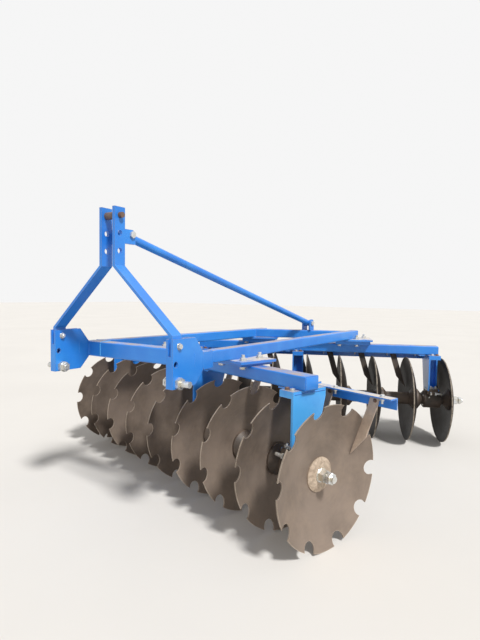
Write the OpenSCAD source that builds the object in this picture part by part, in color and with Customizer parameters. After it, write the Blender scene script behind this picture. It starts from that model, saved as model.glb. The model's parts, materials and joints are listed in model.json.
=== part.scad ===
/* [Discs] */
// Outside diameter of each disc
disc_d = 610; // [580:5:630]
// Steel thickness of each disc
disc_t = 6; // [5:0.5:8]
// Depth of each disc's dish
dish = 62; // [50:1:70]
// Discs on each gang
disc_count = 9; // [7:1:10]
// Distance from disc to disc along the axle
disc_pitch = 245; // [240:1:265]
// Notches round each front disc
notch_count = 10; // [8:1:12]
// Radius of each notch
notch_r = 33; // [22:1:35]
// Distance from the rim in to a notch's centre
notch_inset = 12; // [6:1:18]
// Turn of the front gang's first disc away from a lobe straight down
lobe_turn = -4; // [-10:0.5:10]

/* [Gangs] */
// Angle of the front gang to square across
front_angle = 17.5; // [14:0.5:22]
// Angle of the rear gang to square across
rear_angle = 24; // [18:0.5:26]
// Sideways place of the front gang's middle disc, from the hitch centre
front_gang_x = 7; // [-40:1:40]
// Distance of the front gang's middle disc behind the hitch pins
front_gang_y = 606; // [580:1:660]
// Sideways place of the rear gang's middle disc, from the hitch centre
rear_gang_x = 160; // [100:1:200]
// Distance of the rear gang's middle disc behind the hitch pins
rear_gang_y = 1801; // [1750:1:1860]
// Side of the square axle
axle_side = 32; // [28:1:36]
// Radius of the axle's threaded ends
thread_r = 15; // [12:0.5:16]
// Radius of the spools' end flanges
flange_r = 74; // [65:1:80]
// Thickness of the spools' end flanges
flange_t = 14; // [10:1:18]
// Radius of a plain spool's waist
waist_r = 44; // [36:1:55]
// Radius of the sleeves that turn in the bearings
sleeve_r = 34; // [30:1:40]
// Thickness of the end washers
end_washer_t = 16; // [12:1:22]
// Width across the flats of the axle nuts
nut_af = 50; // [48:1:56]
// Height of the axle nuts
nut_h = 34; // [22:1:40]
// Axle thread that stands out of its nut
thread_out = 38; // [8:1:45]

/* [Bearings and hangers] */
// Radius of a bearing housing
housing_r = 62; // [56:1:66]
// Length of a bearing housing
housing_l = 110; // [90:1:120]
// Height of a housing's foot above the axle
housing_top = 72; // [68:1:80]
// Width of a housing's foot, fore and aft
foot_w = 130; // [120:1:160]
// Width of a hanger along the gang
hanger_w = 80; // [70:1:96]
// Distance of a hanger's front edge ahead of the axle
hanger_front = 80; // [70:1:115]
// Distance of a hanger's back edge behind the axle
hanger_back = 132; // [120:1:150]
// Thickness of a hanger's side plates
hanger_t = 10; // [8:1:12]
// Thickness of a hanger's top and foot plates
hanger_flange_t = 12; // [10:1:16]
// Depth of the lip under the front edge of a hanger's top plate
hanger_lip = 30; // [20:1:40]
// Distance that a hanger's second side plate stands back from the first one's front edge
hanger_set_back = 84; // [70:1:100]
// Height above the axle where a hanger's straight front edge ends
hanger_knee = 115; // [100:1:160]
// Distance of a hanger from the middle of its spool, to the dished side
hanger_shift = 6; // [4:1:8]

/* [Frame] */
// Height of the frame's top face
frame_top = 798; // [790:1:820]
// Height of the side beams and the rear cross beam
side_h = 60; // [50:1:75]
// Width of the side beams and the rear cross beam
side_w = 60; // [50:1:80]
// Height of the front cross beam
cross_h = 78; // [60:1:90]
// Width of the front cross beam, fore and aft
cross_w = 75; // [60:1:90]
// Lean of the left side beam towards the left, going back
left_lean = 3; // [2:0.5:9]
// Lean of the right side beam towards the left, going back
right_lean = 7.5; // [5:0.5:9]
// Length of the side beams past the middle of the rear gang beam
side_past = 45; // [40:1:120]
// Distance of the rear cross beam ahead of the rear axle
rear_cross_ahead = 50; // [40:1:80]
// Width of the gang beams, fore and aft
gang_beam_w = 86; // [80:1:110]
// Height of the gang beams
gang_beam_h = 64; // [60:1:80]
// Distance of the gang beams' centre lines behind the axles
gang_beam_back = 14; // [0:1:30]
// Length of the front gang beam past its end hangers
front_beam_past = 20; // [0:1:40]
// Length by which the rear gang beam stops short of its end hangers' outer faces
rear_beam_short = 8; // [0:1:20]
// Packing by which the rear gang beam hangs lower than the front one
rear_packing = 12; // [6:1:20]
// Outside corner radius of the beams
beam_corner = 8; // [4:1:12]
// Thickness of each clamp plate between side beam and gang beam
clamp_t = 13; // [8:1:15]
// Length of an upper clamp plate along its gang beam
clamp_upper_l = 280; // [220:1:320]
// Width of an upper clamp plate across its gang beam
clamp_upper_w = 230; // [160:1:260]
// Length of a lower clamp plate along its gang beam
clamp_lower_l = 250; // [220:1:300]
// Width of a lower clamp plate across its gang beam
clamp_lower_w = 200; // [150:1:220]

/* [Hitch] */
// Distance between the shoulders of the lower hitch pins
hitch_spread = 825; // [780:1:870]
// Radius of the lower hitch pins
hitch_pin_r = 14; // [11:0.5:18]
// Distance of the lower hitch pins below the frame's top face
hitch_pin_drop = 115; // [105:1:125]
// Usable length of each lower hitch pin
hitch_pin_l = 45; // [40:1:60]
// Thickness of the collar at each pin's shoulder
collar_t = 16; // [12:1:30]
// Width across the flats of the collars and nuts
collar_af = 46; // [42:1:50]
// Thickness of each hitch bracket plate
bracket_t = 10; // [8:1:12]
// Depth of a hitch bracket, fore and aft
bracket_d = 207; // [190:1:230]
// Distance of a hitch bracket's front edge ahead of its pin
bracket_ahead = 39; // [35:1:50]
// Distance of a hitch bracket's lower edge below its pin
bracket_below = 22; // [20:1:35]
// Distance of a hitch bracket's upper edge above the frame's top face
bracket_above = 70; // [55:1:90]
// Radius of the spare hole in each bracket
spare_r = 12.5; // [10:0.5:14]
// Distance of the spare hole above the pin
spare_up = 80; // [65:1:95]
// Distance of the spare hole ahead of the pin
spare_ahead = 18; // [0:1:20]

/* [Mast] */
// Thickness of the mast legs
leg_t = 15; // [12:1:16]
// Width of the mast legs, fore and aft
leg_w = 62; // [56:1:80]
// Clear gap between the mast's upper plates
mast_gap = 69; // [54:1:80]
// Height of the mast's top
mast_top = 1440; // [1400:1:1500]
// Distance from the lowest top link hole down to the mast's upper bend
bend_drop = 69; // [40:1:80]
// Distance of the mast's lower bend above the hitch brackets
foot_rise = 10; // [5:1:50]
// Length of a mast leg that stands in its bracket
leg_in = 71; // [60:1:100]
// Radius of the top link holes
link_r = 13; // [9.5:0.5:16]
// Distance from the mast's top down to its highest top link hole
link_edge = 37; // [25:1:45]
// Distance between the top link holes
link_pitch = 79.5; // [60:0.5:85]
// Radius of the sleeve in the highest top link hole
sleeve_link_r = 17; // [14:0.5:22]
// Radius of the brace tube
brace_r = 20; // [18:0.5:26]
// Distance of the brace bolt behind the hitch pins
ear_y = 75; // [66:1:90]
// Distance of the brace's rear eye above the frame's top face
brace_end_up = 53; // [40:1:75]
// Radius of the brace's bolts
brace_bolt_r = 10; // [8:0.5:12]

/* [Scrapers] */
// Leg length of the scraper bars' angle section
angle_leg = 50; // [40:1:60]
// Thickness of the scraper bars' angle section
angle_t = 6; // [5:0.5:8]
// Distance of the scraper bars' rear faces behind the axles
scraper_bar_back = 220; // [205:1:240]
// Length of scraper bar beyond the first disc
scraper_bar_out = 171; // [120:1:180]
// Thickness of the scrapers
scraper_t = 8; // [5:0.5:10]
// Gap between a scraper's blade and its disc
scraper_gap = 6; // [5:0.5:10]
// Forward slope of the scrapers
scraper_slope = 8; // [4:0.5:14]
// Width of a scraper's stem
scraper_w = 45; // [35:1:55]
// Length of a scraper from its bar to its tip
scraper_l = 271; // [250:1:280]
// Height of the slanting end of a scraper
scraper_point = 84; // [60:1:100]

/* [Hidden] */

frame_blue = "royalblue";
disc_brown = "rosybrown";
gang_black = "dimgray";
zinc = "silver";

$fn = 64;
ball_fn = 240;
past = 1;
seat = 0.2;
running_gap = 0.05;
square_gap = 1;

disc_r = disc_d / 2;
axle_z = disc_r;
last = disc_count - 1;
ball_r = (disc_r * disc_r + dish * dish) / (2 * dish);
ball_x = ball_r - dish;
hollow_r = ball_r - disc_t;
spool_bore_r = axle_side * sqrt(2) / 2 + square_gap;
spool_list = [for (i = [0 : last - 1]) i];
bearing_list = [0, floor(last / 2) - 1, last - 1];
plain_list = [for (i = spool_list) if (len(search(i, bearing_list)) == 0) i];
// Further turn of each front disc: some sit a quarter turn on along the square axle
lobe_steps = [0, 2, 18, 24, -1, 20, 14, 18, -1];

gang_beam_top = frame_top - side_h - 2 * clamp_t;
gang_beam_low = gang_beam_top - gang_beam_h;
front_hanger_top = gang_beam_low - axle_z;
rear_hanger_top = front_hanger_top - rear_packing;
hanger_x = -dish - (disc_pitch - disc_t) / 2 + hanger_shift;
gang_end_near = disc_x(0) + hanger_x + hanger_w / 2;
gang_end_far = disc_x(last - 1) + hanger_x - hanger_w / 2;

shoulder_x = hitch_spread / 2;
bracket_out = shoulder_x - collar_t;
bracket_in = bracket_out - 2 * bracket_t - leg_t - 2 * seat;
hitch_pin_z = frame_top - hitch_pin_drop;
bracket_front = -bracket_ahead;
bracket_back = bracket_front + bracket_d;
bracket_low = hitch_pin_z - bracket_below;
bracket_top = frame_top + bracket_above;
side_z = frame_top - side_h;
cross_y = bracket_back;
side_front = cross_y + cross_w;
side_x = bracket_out - side_w / 2;

link_z = mast_top - link_edge - 2 * link_pitch;
mast_bend = link_z - bend_drop;
mast_foot = bracket_top + foot_rise;
ear_z = link_z + link_pitch;
leg_low = bracket_top - leg_in;
brace_end_z = frame_top + brace_end_up;
eye_rim = 2;
brace_end = [rear_gang_x + rear_cross_ahead * sin(rear_angle),
             rear_gang_y - rear_cross_ahead * cos(rear_angle), brace_end_z];
brace_start = [0, ear_y, ear_z];
brace_turn = atan2(brace_end.x, brace_end.y - ear_y);
end_eye_w = 2 * (brace_r + eye_rim);
arm_w = 40;
arm_t = 8;
ear_r = 22;
bracket_corner = 55;
pin_nut_t = 20;
pin_end = 8;
lug_t = 12;
lug_r = 28;
bolt_head_r = 17;
bolt_head_t = 10;
link_pin_out = 18;
cap_step = 8;
cap_t = 6;
bearing_foot_t = 24;
bearing_neck_in = 10;
hanger_knee_out = 20;
hanger_knee_up = 60;
hanger_shoulder = 40;
spool_cone = 0.8;

// The machine's extents about the hitch, from which its centre is found
reach_back = rear_gang_y + disc_x(0) * sin(rear_angle) + disc_r * cos(rear_angle);
axle_out = -disc_x(last) + dish + end_washer_t + nut_h + thread_out;
reach_left = rear_gang_x + axle_out * cos(rear_angle) + thread_r * sin(rear_angle);
reach_right = -front_gang_x + axle_out * cos(front_angle) + thread_r * sin(front_angle);
reach_front = -bracket_front;
centre_x = (reach_left - reach_right) / 2;
centre_y = (reach_back - reach_front) / 2;

function disc_x(i) = (last / 2 - i) * disc_pitch;
function left_x(y) = side_x + (y - side_front) * tan(left_lean);
function right_x(y) = -side_x + (y - side_front) * tan(right_lean);

// Everything is drawn about the hitch and moved once to the machine's own centre
module on_machine() {
    translate([-centre_x, -centre_y, 0]) children();
}

// A gang's frame: X along its axle, Y to the rear, Z up from the axle
module on_front_gang() {
    on_machine() translate([front_gang_x, front_gang_y, axle_z]) rotate([0, 0, -front_angle]) children();
}

module on_rear_gang() {
    on_machine() translate([rear_gang_x, rear_gang_y, axle_z]) rotate([0, 0, rear_angle])
        mirror([1, 0, 0]) children();
}

// A cylinder along X
module bar_x(r, l) {
    rotate([0, 90, 0]) cylinder(r = r, h = l);
}

// A turned piece: a profile of radius and place along X
module turned_x(points) {
    rotate([0, 90, 0]) rotate_extrude($fn = 96) polygon(points);
}

// A box section beam along Y with rounded corners, its front end at the origin
module box_beam(w, h, l) {
    rotate([-90, 0, 0]) linear_extrude(height = l) {
        square([w - 2 * beam_corner, h], center = true);
        square([w, h - 2 * beam_corner], center = true);
        for (x = [-1, 1], y = [-1, 1])
            translate([x * (w / 2 - beam_corner), y * (h / 2 - beam_corner)]) circle(r = beam_corner);
    }
}

// The ball on whose surface a disc's dish lies
module dish_ball(r) {
    translate([ball_x, 0, 0]) sphere(r = r, $fn = ball_fn);
}

module disc_blank() {
    intersection() {
        difference() {
            dish_ball(ball_r);
            dish_ball(hollow_r);
        }
        translate([-dish - past, 0, 0]) bar_x(disc_r, dish + 3 * disc_t);
    }
}

module axle_hole() {
    side = axle_side + 2 * square_gap;
    cube([4 * dish, side, side], center = true);
}

module plain_disc() {
    difference() {
        disc_blank();
        axle_hole();
    }
}

module notched_disc(turn) {
    step = 360 / notch_count;
    difference() {
        disc_blank();
        axle_hole();
        for (k = [0 : notch_count - 1])
            rotate([(k + 0.5) * step + turn, 0, 0]) translate([-dish, 0, -(disc_r - notch_inset)])
                bar_x(notch_r, 2 * dish);
    }
}

// A spool between a disc at X = 0 and the next one, its ends shaped to their dishes
module spool(r) {
    far_end = -disc_pitch - dish + disc_t;
    cone = (flange_r - r) * spool_cone;
    intersection() {
        difference() {
            turned_x([
                [spool_bore_r, -dish + flange_t], [flange_r, -dish + flange_t],
                [flange_r, -dish - flange_t], [r, -dish - flange_t - cone],
                [r, far_end + flange_t + cone], [flange_r, far_end + flange_t],
                [flange_r, far_end - past], [spool_bore_r, far_end - past]
            ]);
            dish_ball(ball_r + seat);
        }
        translate([-disc_pitch, 0, 0]) dish_ball(hollow_r - seat);
    }
}

// The washer in the first disc's hollow
module hollow_washer() {
    x = -dish + disc_t;
    intersection() {
        turned_x([
            [spool_bore_r, x - past], [flange_r, x - past], [flange_r, x + end_washer_t / 2],
            [flange_r - end_washer_t, x + end_washer_t], [spool_bore_r, x + end_washer_t]
        ]);
        dish_ball(hollow_r - seat);
    }
}

// The washer on the last disc's back
module back_washer() {
    difference() {
        turned_x([
            [spool_bore_r, -dish + flange_t], [flange_r, -dish + flange_t], [flange_r, -dish - end_washer_t / 2],
            [flange_r - end_washer_t, -dish - end_washer_t], [spool_bore_r, -dish - end_washer_t]
        ]);
        dish_ball(ball_r + seat);
    }
}

module gang_discs(notched) {
    for (i = [0 : last])
        translate([disc_x(i), 0, 0])
            if (notched) notched_disc(lobe_turn + lobe_steps[i % len(lobe_steps)]);
            else plain_disc();
}

module gang_spools() {
    for (i = plain_list) translate([disc_x(i), 0, 0]) spool(waist_r);
}

module gang_bearing_spools() {
    for (i = bearing_list) translate([disc_x(i), 0, 0]) spool(sleeve_r);
}

module gang_axle() {
    near = disc_x(0) - dish + disc_t + end_washer_t;
    far = disc_x(last) - dish - end_washer_t;
    translate([far + past, -axle_side / 2, -axle_side / 2]) cube([near - far - 2 * past, axle_side, axle_side]);
    translate([far - nut_h - thread_out, 0, 0]) bar_x(thread_r, near - far + 2 * (nut_h + thread_out));
}

module gang_end_washers() {
    translate([disc_x(0), 0, 0]) hollow_washer();
    translate([disc_x(last), 0, 0]) back_washer();
}

module axle_nut() {
    difference() {
        rotate([0, 90, 0]) cylinder(r = nut_af / sqrt(3), h = nut_h, $fn = 6);
        translate([-past, 0, 0]) bar_x(thread_r + seat / 2, nut_h + 2 * past);
    }
}

module gang_axle_nuts() {
    translate([disc_x(0) - dish + disc_t + end_washer_t, 0, 0]) axle_nut();
    translate([disc_x(last) - dish - end_washer_t - nut_h, 0, 0]) axle_nut();
}

module at_bearings() {
    for (i = bearing_list) translate([disc_x(i) + hanger_x, 0, 0]) children();
}

module bearing() {
    cap_r = housing_r - cap_step;
    neck_top = housing_top - bearing_foot_t + past;
    difference() {
        union() {
            translate([-housing_l / 2, 0, 0]) bar_x(housing_r, housing_l);
            translate([-housing_l / 2 - cap_t, 0, 0]) bar_x(cap_r, housing_l + 2 * cap_t);
            translate([-hanger_w / 2, -foot_w / 2, housing_top - bearing_foot_t])
                cube([hanger_w, foot_w, bearing_foot_t]);
            translate([-hanger_w / 2 + bearing_neck_in, -housing_r, 0])
                cube([hanger_w - 2 * bearing_neck_in, 2 * housing_r, neck_top]);
        }
        translate([-housing_l, 0, 0]) bar_x(sleeve_r + running_gap, 2 * housing_l);
    }
}

// A hanger: a deep side plate, a second one set back, a back plate, a lipped top plate and a foot
module hanger(hanger_top) {
    front = -hanger_front;
    back = hanger_back;
    foot = foot_w / 2;
    knee_back = foot + hanger_knee_out;
    knee_z = housing_top + hanger_knee_up;
    shoulder_z = hanger_top - hanger_shoulder;
    rear_edge = [[foot, housing_top], [knee_back, knee_z], [back, shoulder_z], [back, hanger_top]];
    deep = concat([[front, hanger_top], [front, hanger_knee], [-foot, housing_top]], rear_edge);
    set_back = concat([
        [front + hanger_set_back, hanger_top], [front + hanger_set_back, hanger_knee],
        [hanger_set_back - foot, housing_top]
    ], rear_edge);
    translate([hanger_w / 2 - hanger_t, 0, 0]) rotate([90, 0, 90])
        linear_extrude(height = hanger_t) polygon(deep);
    translate([-hanger_w / 2, 0, 0]) rotate([90, 0, 90])
        linear_extrude(height = hanger_t) polygon(set_back);
    translate([-hanger_w / 2, foot - hanger_t, housing_top])
        cube([hanger_w, hanger_t, hanger_top - housing_top]);
    translate([-hanger_w / 2, front, hanger_top - hanger_flange_t]) cube([hanger_w, back - front, hanger_flange_t]);
    translate([-hanger_w / 2, front, hanger_top - hanger_lip]) cube([hanger_w, hanger_t, hanger_lip]);
    translate([-hanger_w / 2, -foot, housing_top]) cube([hanger_w, foot_w, hanger_flange_t]);
}

module gang_beam(hanger_top, past_end) {
    l = gang_end_near - gang_end_far + 2 * past_end;
    translate([gang_end_near + past_end, gang_beam_back, hanger_top + gang_beam_h / 2])
        rotate([0, 0, 90]) box_beam(gang_beam_w, gang_beam_h, l);
}

// The scraper bar: an angle section on three arms that run under the gang beam
module scraper_bar(hanger_top) {
    near = disc_x(0) + scraper_bar_out;
    far = disc_x(last) + angle_leg / 2;
    arm_l = scraper_bar_back - gang_beam_back + gang_beam_w / 2;
    arm_off = hanger_w / 2 + arm_w;
    z = hanger_top - arm_t;
    translate([far, scraper_bar_back - angle_leg, z - angle_t]) cube([near - far, angle_leg, angle_t]);
    translate([far, scraper_bar_back - angle_t, z - angle_leg]) cube([near - far, angle_t, angle_leg]);
    for (i = bearing_list) {
        side = (i == 0) ? -1 : 1;
        translate([disc_x(i) + hanger_x + side * arm_off - arm_w / 2, gang_beam_back - gang_beam_w / 2, z])
            cube([arm_w, arm_l, arm_t]);
    }
}

// A scraper: a bent bar, its foot on the scraper bar and its slanting point in the disc's hollow
module scraper(hanger_top) {
    foot_x = angle_leg;
    foot_h = angle_leg - angle_t;
    back = scraper_bar_back - angle_t;
    top = hanger_top - arm_t - angle_t;
    stem_l = scraper_l - foot_h;
    tip_y = -stem_l * sin(scraper_slope);
    tip_z = -foot_h - stem_l * cos(scraper_slope);
    tip_x = ball_x - sqrt(pow(hollow_r - scraper_gap, 2) - pow(norm([back + tip_y, top + tip_z]), 2));
    point_x = foot_x + scraper_w + (tip_x - foot_x) * (tip_z + scraper_point) / tip_z;
    profile = [
        [0, 0], [0, -foot_h], [tip_y, tip_z],
        [tip_y - scraper_t * cos(scraper_slope), tip_z + scraper_t * sin(scraper_slope)],
        [-scraper_t, scraper_t * tan(scraper_slope / 2) - foot_h], [-scraper_t, 0]
    ];
    outline = [
        [foot_x, past], [foot_x + scraper_w, past], [foot_x + scraper_w, 0],
        [point_x, tip_z + scraper_point], [tip_x, tip_z], [foot_x, 0]
    ];
    translate([0, back, top]) intersection() {
        translate([tip_x - past, 0, 0]) rotate([90, 0, 90])
            linear_extrude(height = foot_x + scraper_w - tip_x + 2 * past) polygon(profile);
        translate([0, past, 0]) rotate([90, 0, 0])
            linear_extrude(height = 3 * scraper_t - tip_y) polygon(outline);
    }
}

module gang_scrapers(hanger_top) {
    for (i = [0 : last]) translate([disc_x(i), 0, 0]) scraper(hanger_top);
}

// Frame

// A side beam: it butts the front cross beam and runs out past the rear gang beam
module side_beam(x, gang_y, lean) {
    l = (gang_y + side_past - side_front) / cos(lean) + side_w;
    difference() {
        translate([x, side_front, side_z + side_h / 2]) rotate([0, 0, -lean])
            translate([0, -side_w, 0]) box_beam(side_w, side_h, l);
        translate([x - side_w, side_front - 2 * side_w, side_z - past])
            cube([2 * side_w, 2 * side_w, side_h + 2 * past]);
    }
}

module left_side_beam() {
    color(frame_blue) on_machine() side_beam(side_x, left_rear_y, left_lean);
}

module right_side_beam() {
    color(frame_blue) on_machine() side_beam(-side_x, right_rear_y, right_lean);
}

module front_cross_beam() {
    color(frame_blue) on_machine()
        translate([bracket_out, cross_y + cross_w / 2, frame_top - cross_h / 2])
            rotate([0, 0, 90]) box_beam(cross_w, cross_h, 2 * bracket_out);
}

// The rear cross beam is cut to the side beams' inner faces
module rear_cross_beam() {
    reach = bracket_out * 2;
    color(frame_blue) on_machine() intersection() {
        translate([brace_end.x, brace_end.y, side_z + side_h / 2]) rotate([0, 0, 90 + rear_angle])
            translate([0, -reach, 0]) box_beam(side_w, side_h, 2 * reach);
        between_side_beams();
    }
}

module between_side_beams() {
    left_in = side_w / 2 / cos(left_lean);
    right_in = side_w / 2 / cos(right_lean);
    y0 = side_front;
    y1 = left_rear_y + side_past;
    translate([0, 0, side_z - past]) linear_extrude(height = side_h + 2 * past) polygon([
        [left_x(y0) - left_in, y0], [left_x(y1) - left_in, y1],
        [right_x(y1) + right_in, y1], [right_x(y0) + right_in, y0]
    ]);
}

// Where each side beam crosses each gang beam's centre line
front_line = front_gang_y + gang_beam_back / cos(front_angle) + front_gang_x * tan(front_angle);
rear_line = rear_gang_y + gang_beam_back / cos(rear_angle) - rear_gang_x * tan(rear_angle);
left_front_y = crossing_y(left_x(0), left_lean, front_line, -front_angle);
right_front_y = crossing_y(right_x(0), right_lean, front_line, -front_angle);
left_rear_y = crossing_y(left_x(0), left_lean, rear_line, rear_angle);
right_rear_y = crossing_y(right_x(0), right_lean, rear_line, rear_angle);

function crossing_y(side_x0, lean, gang_y0, turn) =
    (gang_y0 + side_x0 * tan(turn)) / (1 - tan(lean) * tan(turn));

// Each crossing: its place, the gang beam's turn and the packing under it
crossings = [
    [left_x(left_front_y), left_front_y, -front_angle, 0],
    [right_x(right_front_y), right_front_y, -front_angle, 0],
    [left_x(left_rear_y), left_rear_y, rear_angle, rear_packing],
    [right_x(right_rear_y), right_rear_y, rear_angle, rear_packing]
];

module upper_clamp_plates() {
    color(frame_blue) on_machine() for (c = crossings)
        translate([c.x, c.y, side_z - clamp_t]) rotate([0, 0, c.z])
            translate([-clamp_upper_l / 2, -clamp_upper_w / 2, 0]) cube([clamp_upper_l, clamp_upper_w, clamp_t]);
}

// The rear lower plates are thicker by their packing
module lower_clamp_plates() {
    color(frame_blue) on_machine() for (c = crossings)
        translate([c.x, c.y, gang_beam_top - c[3]]) rotate([0, 0, c.z])
            translate([-clamp_lower_l / 2, -clamp_lower_w / 2, 0])
                cube([clamp_lower_l, clamp_lower_w, clamp_t + c[3]]);
}

// Hitch

// One bracket: two plates with a closing strip between their front edges
module hitch_bracket() {
    outline = [
        [bracket_front, bracket_low], [bracket_front, bracket_top],
        [bracket_back - bracket_corner, bracket_top], [bracket_back, frame_top],
        [bracket_back, frame_top - cross_h], [bracket_back - bracket_corner, bracket_low]
    ];
    difference() {
        union() {
            for (x = [bracket_in, bracket_out - bracket_t])
                translate([x, 0, 0]) rotate([90, 0, 90]) linear_extrude(height = bracket_t) polygon(outline);
            translate([bracket_in, bracket_front, bracket_low])
                cube([bracket_out - bracket_in, bracket_t, leg_low - seat - bracket_low]);
        }
        translate([bracket_in - past, 0, hitch_pin_z]) bar_x(hitch_pin_r, bracket_out - bracket_in + 2 * past);
        translate([bracket_in - past, -spare_ahead, hitch_pin_z + spare_up])
            bar_x(spare_r, bracket_out - bracket_in + 2 * past);
    }
}

module left_hitch_bracket() {
    color(frame_blue) on_machine() hitch_bracket();
}

module right_hitch_bracket() {
    color(frame_blue) on_machine() mirror([1, 0, 0]) hitch_bracket();
}

module hitch_pin() {
    inner = bracket_in - pin_nut_t - pin_end;
    translate([0, 0, hitch_pin_z]) {
        translate([inner, 0, 0]) bar_x(hitch_pin_r, shoulder_x + hitch_pin_l - inner);
        translate([bracket_out, 0, 0]) rotate([0, 90, 0]) cylinder(r = collar_af / sqrt(3), h = collar_t, $fn = 6);
        translate([bracket_in - pin_nut_t, 0, 0]) rotate([0, 90, 0])
            cylinder(r = collar_af / sqrt(3), h = pin_nut_t, $fn = 6);
    }
}

module left_hitch_pin() {
    color(zinc) on_machine() hitch_pin();
}

module right_hitch_pin() {
    color(zinc) on_machine() mirror([1, 0, 0]) hitch_pin();
}

// Mast

// A leg's bent flat bar, seen from the front
module mast_leg() {
    up = mast_gap / 2;
    out = bracket_in + bracket_t + seat;
    bend = leg_t / 4;
    bar = [
        [out, leg_low], [out, mast_foot], [up, mast_bend], [up, mast_top],
        [up + leg_t, mast_top], [up + leg_t, mast_bend + bend],
        [out + leg_t, mast_foot + bend], [out + leg_t, leg_low]
    ];
    difference() {
        union() {
            translate([0, leg_w / 2, 0]) rotate([90, 0, 0]) linear_extrude(height = leg_w) polygon(bar);
            translate([up, 0, ear_z - 2 * ear_r]) cube([leg_t, ear_y, 3 * ear_r]);
            translate([up, 0, ear_z - 2 * ear_r]) cube([leg_t, ear_y + ear_r, 2 * ear_r]);
            translate([up, ear_y, ear_z]) bar_x(ear_r, leg_t);
        }
        for (k = [0 : 2]) translate([up - past, 0, link_z + k * link_pitch]) bar_x(link_r, leg_t + 2 * past);
        translate([up - past, ear_y, ear_z]) bar_x(brace_bolt_r, leg_t + 2 * past);
    }
}

module left_mast_leg() {
    color(frame_blue) on_machine() mast_leg();
}

module right_mast_leg() {
    color(frame_blue) on_machine() mirror([1, 0, 0]) mast_leg();
}

// The sleeve and its pin in the highest top link hole
module mast_sleeve() {
    z = link_z + 2 * link_pitch;
    pin_l = mast_gap + 2 * leg_t + 2 * link_pin_out;
    color(zinc) on_machine() translate([0, 0, z]) {
        translate([-mast_gap / 2, 0, 0]) bar_x(sleeve_link_r, mast_gap);
        translate([-pin_l / 2, 0, 0]) bar_x(link_r - seat, pin_l);
    }
}

// The brace runs from the mast's ears to the rear cross beam
module along_brace() {
    d = brace_end - brace_start;
    translate(brace_start) rotate([0, atan2(norm([d.x, d.y]), d.z), atan2(d.y, d.x)]) children();
}

module at_brace_end() {
    translate(brace_end) rotate([0, 0, -brace_turn]) children();
}

module brace_tube() {
    eye_r = brace_r + eye_rim;
    eye_w = mast_gap - 2 * seat;
    color(frame_blue) on_machine() difference() {
        union() {
            along_brace() cylinder(r = brace_r, h = norm(brace_end - brace_start));
            translate(brace_start) translate([-eye_w / 2, 0, 0]) bar_x(eye_r, eye_w);
            at_brace_end() translate([-end_eye_w / 2, 0, 0]) bar_x(eye_r, end_eye_w);
        }
        translate(brace_start) translate([-mast_gap, 0, 0]) bar_x(brace_bolt_r, 2 * mast_gap);
        at_brace_end() translate([-mast_gap, 0, 0]) bar_x(brace_bolt_r, 2 * mast_gap);
    }
}

module brace_lug() {
    color(frame_blue) on_machine() at_brace_end() difference() {
        for (x = [-end_eye_w / 2 - seat - lug_t, end_eye_w / 2 + seat]) translate([x, 0, 0]) {
            bar_x(lug_r, lug_t);
            translate([0, -lug_r, frame_top - brace_end_z]) cube([lug_t, 2 * lug_r, brace_end_z - frame_top]);
        }
        translate([-mast_gap, 0, 0]) bar_x(brace_bolt_r, 2 * mast_gap);
    }
}

module brace_bolts() {
    end_grip = end_eye_w + 2 * seat + 2 * lug_t;
    color(zinc) on_machine() {
        translate([-mast_gap / 2 - leg_t, ear_y, ear_z]) brace_bolt(mast_gap + 2 * leg_t);
        at_brace_end() translate([-end_grip / 2, 0, 0]) brace_bolt(end_grip);
    }
}

module brace_bolt(grip) {
    bar_x(brace_bolt_r - seat / 2, grip);
    for (x = [-bolt_head_t, grip])
        translate([x, 0, 0]) rotate([0, 90, 0]) cylinder(r = bolt_head_r, h = bolt_head_t, $fn = 6);
}

// Gangs and what carries them

module front_gang_beam() { color(frame_blue) on_front_gang() gang_beam(front_hanger_top, front_beam_past); }
module rear_gang_beam() { color(frame_blue) on_rear_gang() gang_beam(rear_hanger_top, -rear_beam_short); }
module front_hangers() { color(frame_blue) on_front_gang() at_bearings() hanger(front_hanger_top); }
module rear_hangers() { color(frame_blue) on_rear_gang() at_bearings() hanger(rear_hanger_top); }
module front_bearings() { color(gang_black) on_front_gang() at_bearings() bearing(); }
module rear_bearings() { color(gang_black) on_rear_gang() at_bearings() bearing(); }
module front_scraper_bar() { color(frame_blue) on_front_gang() scraper_bar(front_hanger_top); }
module rear_scraper_bar() { color(frame_blue) on_rear_gang() scraper_bar(rear_hanger_top); }
module front_scrapers() { color(gang_black) on_front_gang() gang_scrapers(front_hanger_top); }
module rear_scrapers() { color(gang_black) on_rear_gang() gang_scrapers(rear_hanger_top); }
module front_discs() { color(disc_brown) on_front_gang() gang_discs(true); }
module rear_discs() { color(gang_black) on_rear_gang() gang_discs(false); }
module front_spools() { color(gang_black) on_front_gang() gang_spools(); }
module rear_spools() { color(gang_black) on_rear_gang() gang_spools(); }
module front_bearing_spools() { color(gang_black) on_front_gang() gang_bearing_spools(); }
module rear_bearing_spools() { color(gang_black) on_rear_gang() gang_bearing_spools(); }
module front_axle() { color(zinc) on_front_gang() gang_axle(); }
module rear_axle() { color(zinc) on_rear_gang() gang_axle(); }
module front_end_washers() { color(disc_brown) on_front_gang() gang_end_washers(); }
module rear_end_washers() { color(gang_black) on_rear_gang() gang_end_washers(); }
module front_axle_nuts() { color(zinc) on_front_gang() gang_axle_nuts(); }
module rear_axle_nuts() { color(zinc) on_rear_gang() gang_axle_nuts(); }

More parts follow.
